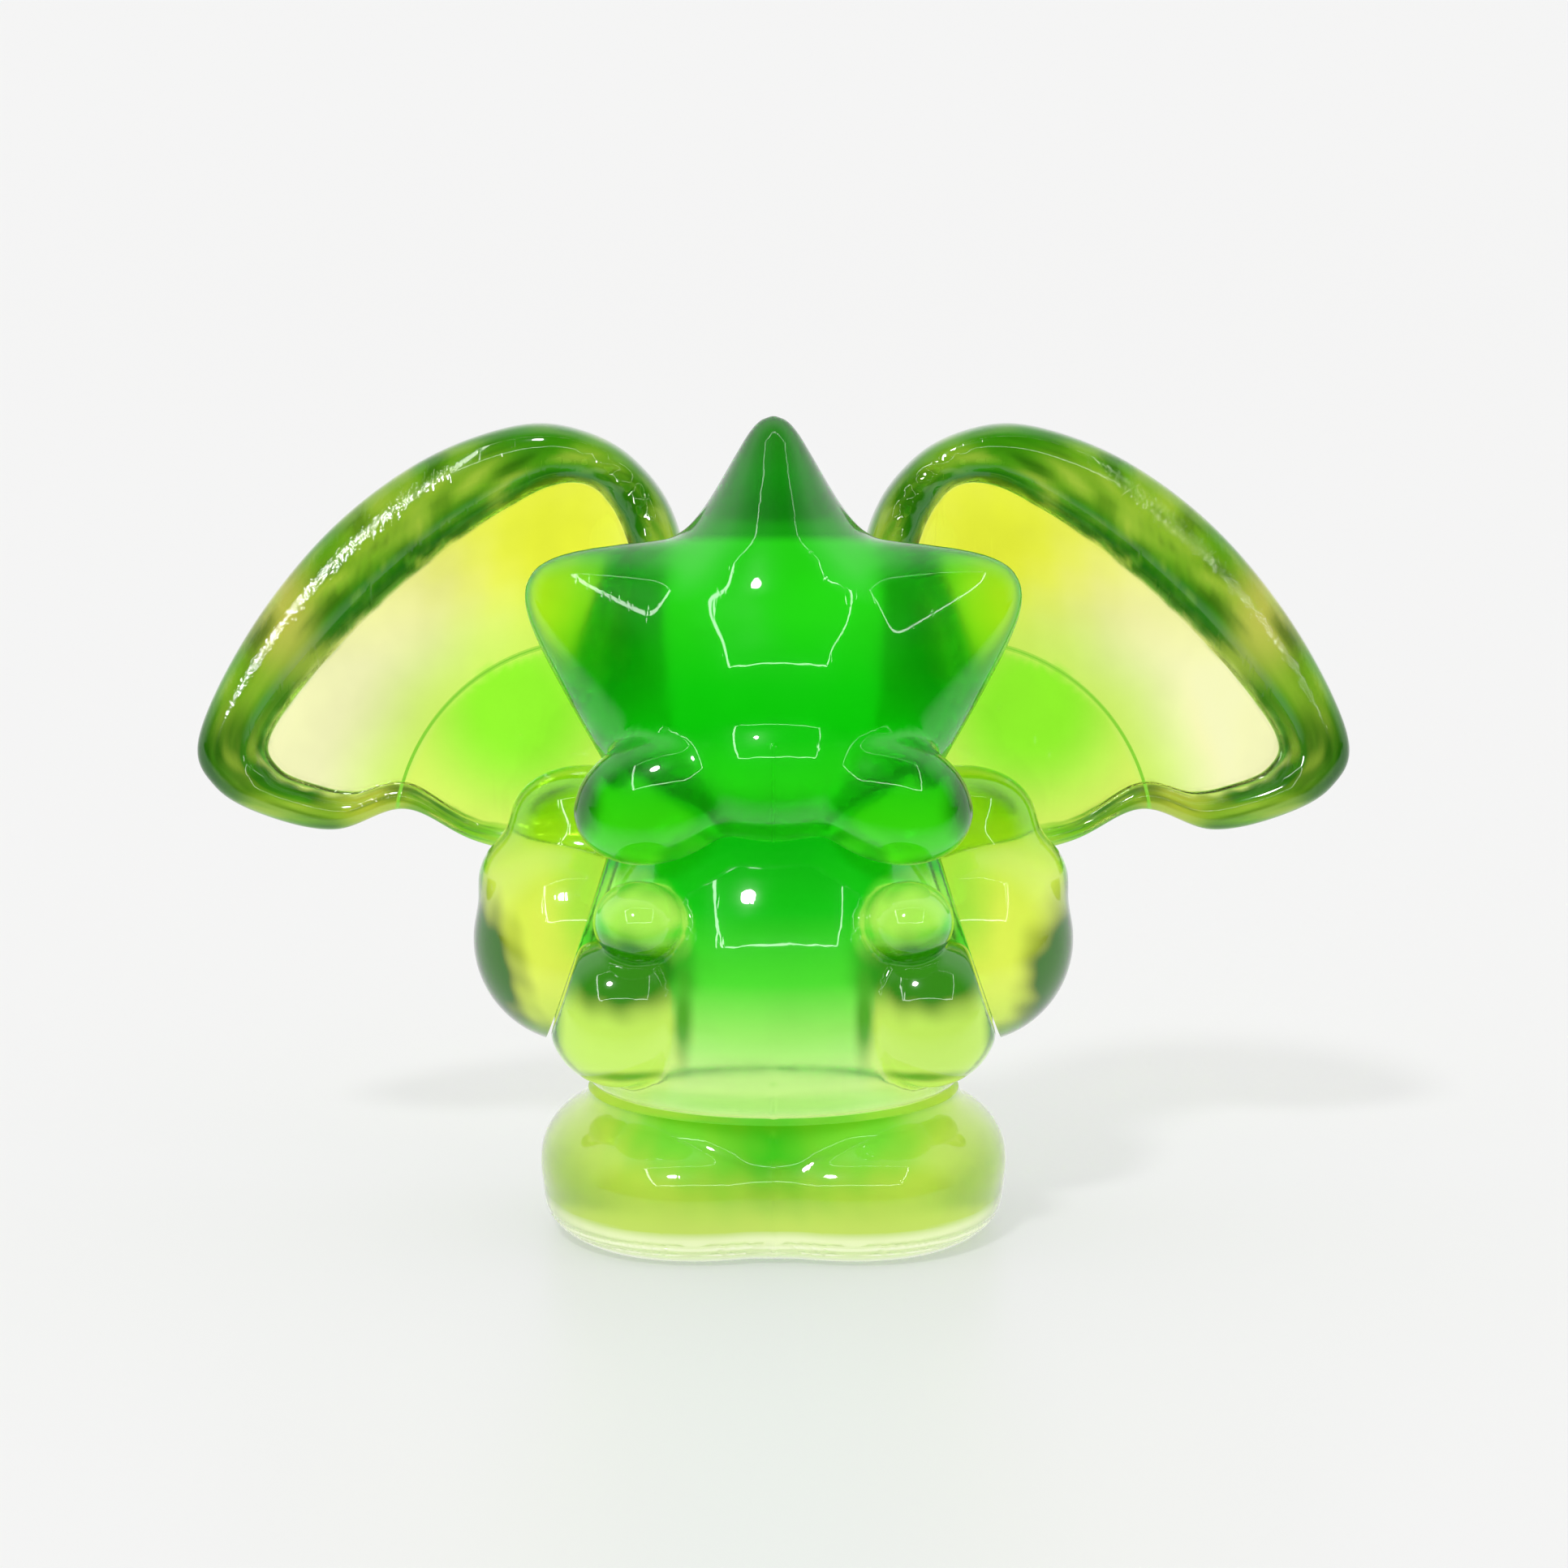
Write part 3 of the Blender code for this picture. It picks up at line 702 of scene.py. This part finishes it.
# Rim colour across it: dye with painted shade at both edges; then painted patches of shade and light along
# it.
RIM_DYE_AND_SHADE = (
    (0.0, "#2C8408"),
    (0.12, "#5CA418"),
    (0.35, "#84B02C"),
    (0.55, "#7CB028"),
    (0.7, "#2C8410"),
    (0.85, "#125406"),
    (0.95, "#1C6808"),
)
RIM_PAINTED_PATCHES = (
    ("#16580A", 29.0, 6.0, 4.0, 5.0),
    ("#D0CC60", 25.5, 15.5, 3.5, 5.5),
    ("#98C038", 19.0, 22.0, 4.5, 3.5),
    ("#BCC840", 20.0, 3.6, 3.5, 2.5),
    ("#2C8C06", 9.0, 26.5, 6.0, 3.5),
    ("#1C6C04", 2.5, 22.0, 4.5, 4.0),
    ("#80DC28", 11.0, 0.5, 6.5, 4.0),
)
RIM_RADIUS = 14.0
rim_steps = [across for across, colour in RIM_DYE_AND_SHADE]
rim_shades = numpy.array([linear(colour) for across, colour in RIM_DYE_AND_SHADE])
wing.data.attributes.new("worn", "FLOAT", "POINT")
worn = wing.data.attributes["worn"].data
dye_and_painted_shading = wing.data.color_attributes["dye_and_painted_shading"].data
for vert in wing.data.vertices:
    across = wing.data.attributes["across"].data[vert.index].value
    x = vert.co.x / MM
    z = vert.co.z / MM
    shade = Vector([numpy.interp(across, rim_steps, rim_shades[:, k]) for k in range(4)])
    for colour, patch_x, patch_z, half_width, half_height in RIM_PAINTED_PATCHES:
        reach = math.hypot((x - patch_x) / half_width, (z - patch_z) / half_height)
        shade = shade.lerp(Vector(linear(colour)), 0.85 * ease(1.0, 0.2, reach))
    # Streaks that follow the rim, a few mm long, paler and darker.
    along = math.atan2(z - hub.y, x - hub.x) * RIM_RADIUS
    streak = noise.noise((along * 0.3, across * 6.0, 3.1))
    shade = shade.lerp(Vector(linear("#B0CC48")), 0.7 * ease(0.05, 0.45, streak))
    shade = shade.lerp(Vector(linear("#0E5404")), 0.7 * ease(-0.1, -0.5, streak))
    # The rim's colour and its painted shade end in a ragged line at the web, and fade out by the body.
    ragged = 0.07 * noise.noise((x * 0.9, 0.0, z * 0.9))
    on_rim = ease(1.0, 0.9, across + ragged) * (0.1 + 0.9 * ease(8.0, 13.0, max(x, z)))
    # The web turns greener towards the fold, and the lobe inside it is greenest in the middle.
    inner = inside_fold(Vector((x, z)))
    ground = Vector(dye_and_painted_shading[vert.index].color).lerp(Vector(linear("#CCF848")), 0.8 * ease(-6.0, 0.0, inner))
    greenest = ease(8.5, 2.0, math.hypot(x - 10.5, z - 9.5))
    pillow = Vector(linear("#E0FA6C")).lerp(Vector(linear("#98FA30")), greenest)
    ground = ground.lerp(pillow, ease(-0.3, 0.3, inner))
    dye_and_painted_shading[vert.index].color = ground.lerp(shade, on_rim)
    # The rim is rubbed rough on its outer shoulder and dented at its inner top corner.
    outer_rub = ease(0.08, 0.18, across) * ease(0.6, 0.45, across) * ease(13.0, 18.0, x) * ease(8.0, 11.0, z)
    inner_rub = ease(0.1, 0.25, across) * ease(0.9, 0.7, across) * ease(7.0, 5.0, x) * ease(18.0, 21.0, z)
    worn[vert.index].value = outer_rub
    dent = 0.36 * noise.noise((x * 0.9, 4.0, z * 0.9)) * inner_rub
    vert.co.y += math.copysign(dent, vert.co.y) * MM
# The fold's painted-shade line is an arc alike on both sides: its middle in the figure, radius and half width
# in mm.
FOLD_CENTRE = (10.85, 0.0, 21.26)
FOLD_RADIUS = 12.92
FOLD_LINE_HALF = 0.1
# Pale vinyl, the clearest of all, with a fine green line of painted shade at the fold and a rim rubbed to a
# sparkle.
pale_wing, tree, shader, tint, relief, bump, place = clear_vinyl(
    "clear pale vinyl wing", (10.0, 1.0, 30.0), 0.12, 1.0
)
mirrored_place = add_node(
    tree,
    "ShaderNodeVectorMath",
    None,
    {0: place.outputs["Object"]},
    operation="ABSOLUTE",
)
flat_place = add_node(
    tree,
    "ShaderNodeVectorMath",
    {1: (1.0, 0.0, 1.0)},
    {0: mirrored_place.outputs["Vector"]},
    operation="MULTIPLY",
)
from_root = add_node(
    tree,
    "ShaderNodeVectorMath",
    {1: [length * MM for length in FOLD_CENTRE]},
    {0: flat_place.outputs["Vector"]},
    operation="DISTANCE",
)
from_fold = add_node(
    tree,
    "ShaderNodeMath",
    {1: FOLD_RADIUS * MM, 2: FOLD_LINE_HALF * MM},
    {0: from_root.outputs["Value"]},
    operation="COMPARE",
)
# Painted shade: the fine green line along the fold's crease.
fold_painted_shade = add_node(
    tree,
    "ShaderNodeMix",
    {"B": linear("#8CD83C")},
    {"Factor": from_fold.outputs["Value"], "A": tint.outputs["Vector"]},
    data_type="RGBA",
)
# The rub's grain is about 0.3 mm, coarser than the real one so that it shows.
rubbed = add_node(tree, "ShaderNodeAttribute", attribute_name="worn")
grain = add_node(
    tree,
    "ShaderNodeTexNoise",
    {"Scale": 3000.0, "Detail": 2.0, "Roughness": 0.6},
    {"Vector": place.outputs["Object"]},
)
rub = add_node(
    tree,
    "ShaderNodeMath",
    None,
    {0: rubbed.outputs["Fac"], 1: grain.outputs["Fac"]},
    operation="MULTIPLY",
)
rough_rim = add_node(
    tree,
    "ShaderNodeMath",
    {1: 5.0},
    {0: rub.outputs["Value"], 2: relief.outputs["Value"]},
    operation="MULTIPLY_ADD",
)
tree.links.new(rough_rim.outputs["Value"], bump.inputs["Height"])
tree.links.new(fold_painted_shade.outputs["Result"], shader.inputs["Base Color"])
WING_ROOT = (5.5, 10.8, 20.3)
WING_SWEEP = math.radians(6.0)
WING_FACE_Y = 8.7
wings = []
for side, name in ((-1, "wing_left"), (1, "wing_right")):
    pick(wing)
    bpy.ops.object.duplicate()
    piece = bpy.context.object
    piece.name = name + "_skin"
    piece.data.name = name + "_skin"
    piece.scale = (side, 1.0, 1.0)
    bpy.ops.object.transform_apply(location=True, rotation=True, scale=True)
    piece.rotation_euler = (0.0, 0.0, side * WING_SWEEP)
    piece.location = (side * WING_ROOT[0] * MM, WING_ROOT[1] * MM, WING_ROOT[2] * MM)
    bpy.ops.object.transform_apply(location=True, rotation=True, scale=True)
    bpy.ops.object.mode_set(mode="EDIT")
    bpy.ops.mesh.select_all(action="SELECT")
    bpy.ops.mesh.normals_make_consistent(inside=False)
    bpy.ops.object.mode_set(mode="OBJECT")
    slice_off(piece, (0.0, WING_FACE_Y, 0.0), (0.0, -1.0, 0.0))
    smooth_over(piece)
    dress(piece, pale_wing)
    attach(piece, name)
    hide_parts(name)
    wings.append(piece)
bpy.data.objects.remove(wing)

# Floor
# A sheet of matt white board under the figure, which runs back until it is lost in the white behind it.
# It stands 0.02 mm over the flat underside, so the vinyl touches it all over, with no film of air between.
TOUCH = 0.02
bpy.ops.object.select_all(action="DESELECT")
bpy.ops.mesh.primitive_circle_add(vertices=96, radius=12.0, fill_type="NGON")
floor = bpy.context.object
floor.name = "floor"
for vert in floor.data.vertices:
    vert.co.z = TOUCH * MM
# Board with a faint sheen. The camera sees it half as plain white, so it is as white as the photograph's and
# keeps the shadow. In the gloss it is dark in front of the figure, and through the vinyl it is plain white.
board = bpy.data.materials.new("matt white board")
board.use_nodes = True
tree = board.node_tree
tree.nodes.clear()
path = add_node(tree, "ShaderNodeLightPath")
matt = add_node(tree, "ShaderNodeBsdfPrincipled", {"Base Color": linear("#F8F8F7"), "Roughness": 0.35})
place = add_node(tree, "ShaderNodeTexCoord")
apart = add_node(tree, "ShaderNodeSeparateXYZ", None, {"Vector": place.outputs["Object"]})
front = add_node(
    tree,
    "ShaderNodeMapRange",
    {"From Min": -0.045, "From Max": -0.02, "To Min": 0.01, "To Max": 0.9},
    {"Value": apart.outputs["Y"]},
)
mirrored = add_node(
    tree,
    "ShaderNodeEmission",
    {"Color": linear("#FFFFFF")},
    {"Strength": front.outputs["Result"]},
)
in_gloss = add_node(
    tree,
    "ShaderNodeMixShader",
    None,
    {"Fac": path.outputs["Is Glossy Ray"], 1: matt.outputs["BSDF"], 2: mirrored.outputs["Emission"]},
)
brightness = add_node(
    tree,
    "ShaderNodeMapRange",
    {"To Min": 0.88, "To Max": 1.0},
    {"Value": path.outputs["Is Transmission Ray"]},
)
white = add_node(
    tree,
    "ShaderNodeEmission",
    {"Color": linear("#FFFFFF")},
    {"Strength": brightness.outputs["Result"]},
)
plain = add_node(tree, "ShaderNodeMath", {1: 0.5}, {0: path.outputs["Is Camera Ray"]}, operation="MULTIPLY")
own_white = add_node(
    tree,
    "ShaderNodeMath",
    None,
    {0: plain.outputs["Value"], 1: path.outputs["Is Transmission Ray"]},
    operation="MAXIMUM",
)
in_glass = add_node(
    tree,
    "ShaderNodeMixShader",
    None,
    {"Fac": own_white.outputs["Value"], 1: in_gloss.outputs["Shader"], 2: white.outputs["Emission"]},
)
add_node(tree, "ShaderNodeOutputMaterial", None, {"Surface": in_glass.outputs["Shader"]})
floor.data.materials.append(board)

# Front of the tent
# White cloth, lit bright at the edges of the opening that the photograph is taken through, which the gloss of
# the figure shows as thin lines, and at a slit on each side of it, which only the gloss of the wings shows.
inner = [
    (-0.166, -0.276, 0.140),
    (0.203, -0.250, 0.140),
    (0.200, -0.080, 0.300),
    (-0.174, -0.110, 0.300),
]
outer = [
    (-0.176, -0.280, 0.136),
    (0.208, -0.254, 0.136),
    (0.205, -0.079, 0.301),
    (-0.186, -0.109, 0.301),
]
edges = [(inner[k], inner[(k + 1) % 4], outer[(k + 1) % 4], outer[k]) for k in range(4)]
left_slit = [
    (-0.170, -0.276, 0.138),
    (-0.178, -0.274, 0.138),
    (-0.204, -0.257, 0.018),
    (-0.182, -0.261, 0.018),
]
right_slit = [
    (0.181, -0.265, 0.080),
    (0.187, -0.263, 0.080),
    (0.200, -0.250, 0.012),
    (0.192, -0.252, 0.012),
]
bright_parts = (
    ("tent_opening", 12.0, edges, [floor], "EXCLUDE"),
    ("tent_left_slit", 90.0, [left_slit], wings, "INCLUDE"),
    ("tent_right_slit", 30.0, [right_slit], wings, "INCLUDE"),
)
for name, strength, strips, listed, state in bright_parts:
    opening = bpy.data.objects.new(name, bpy.data.meshes.new(name))
    bpy.context.scene.collection.objects.link(opening)
    skin = bmesh.new()
    for corners in strips:
        skin.faces.new([skin.verts.new(corner) for corner in corners])
    skin.to_mesh(opening.data)
    skin.free()
    glint = bpy.data.materials.new("bright white cloth of the " + name)
    glint.use_nodes = True
    glint.node_tree.nodes.clear()
    edge_light = add_node(
        glint.node_tree,
        "ShaderNodeEmission",
        {"Color": linear("#FFFFFF"), "Strength": strength},
    )
    add_node(glint.node_tree, "ShaderNodeOutputMaterial", None, {"Surface": edge_light.outputs["Emission"]})
    opening.data.materials.append(glint)
    opening.visible_camera = False
    opening.visible_diffuse = False
    opening.visible_transmission = False
    opening.visible_volume_scatter = False
    opening.visible_shadow = False
    listing = bpy.data.collections.new("light list of the " + name)
    for item in listed:
        listing.objects.link(item)
    for entry in listing.collection_objects:
        entry.light_linking.link_state = state
    opening.light_linking.receiver_collection = listing

# Light and camera
# The rest of the white tent, one soft lamp high on the left in front, and the camera straight in front.
# In the gloss the tent is dark in front and bright behind, and through the vinyl it is plain white.
scene = bpy.context.scene
scene.view_settings.view_transform = "Standard"
scene.cycles.max_bounces = 20
scene.cycles.transmission_bounces = 20
world = bpy.data.worlds.new("white tent")
scene.world = world
world.use_nodes = True
tree = world.node_tree
sky = tree.nodes["Background"]
sky.inputs["Color"].default_value = linear("#FFFFFF")
place = add_node(tree, "ShaderNodeTexCoord")
apart = add_node(tree, "ShaderNodeSeparateXYZ", None, {"Vector": place.outputs["Generated"]})
room = add_node(
    tree,
    "ShaderNodeMapRange",
    {"From Min": -0.35, "From Max": 0.1, "To Min": 0.01, "To Max": 0.95},
    {"Value": apart.outputs["Y"]},
)
path = add_node(tree, "ShaderNodeLightPath")
in_gloss = add_node(
    tree,
    "ShaderNodeMix",
    {"A": 0.78},
    {"Factor": path.outputs["Is Glossy Ray"], "B": room.outputs["Result"]},
)
in_glass = add_node(
    tree,
    "ShaderNodeMix",
    {"B": 1.0},
    {"Factor": path.outputs["Is Transmission Ray"], "A": in_gloss.outputs["Result"]},
)
tree.links.new(in_glass.outputs["Result"], sky.inputs["Strength"])
lamp = bpy.data.lights.new("key", "SUN")
lamp.angle = math.radians(8.0)
lamp.energy = 1.0
key = bpy.data.objects.new("key", lamp)
scene.collection.objects.link(key)
key.location = (-0.115, -0.300, 0.383)
key.rotation_euler = (Vector((0.0, 0.0, 0.02)) - key.location).to_track_quat("-Z", "Y").to_euler()
key.visible_camera = False
key.visible_transmission = False
view = bpy.data.cameras.new("camera")
view.lens = 116.0
view.sensor_width = 36.0
# The photograph is framed 13 of its 1932 pixels to the side.
view.shift_x = 13.0 / 1932.0
view.clip_start = 0.01
camera = bpy.data.objects.new("camera", view)
scene.collection.objects.link(camera)
camera.location = (0.0, -0.300, 0.0762)
camera.rotation_euler = (math.radians(90.0 - 9.32), 0.0, 0.0)
scene.camera = camera
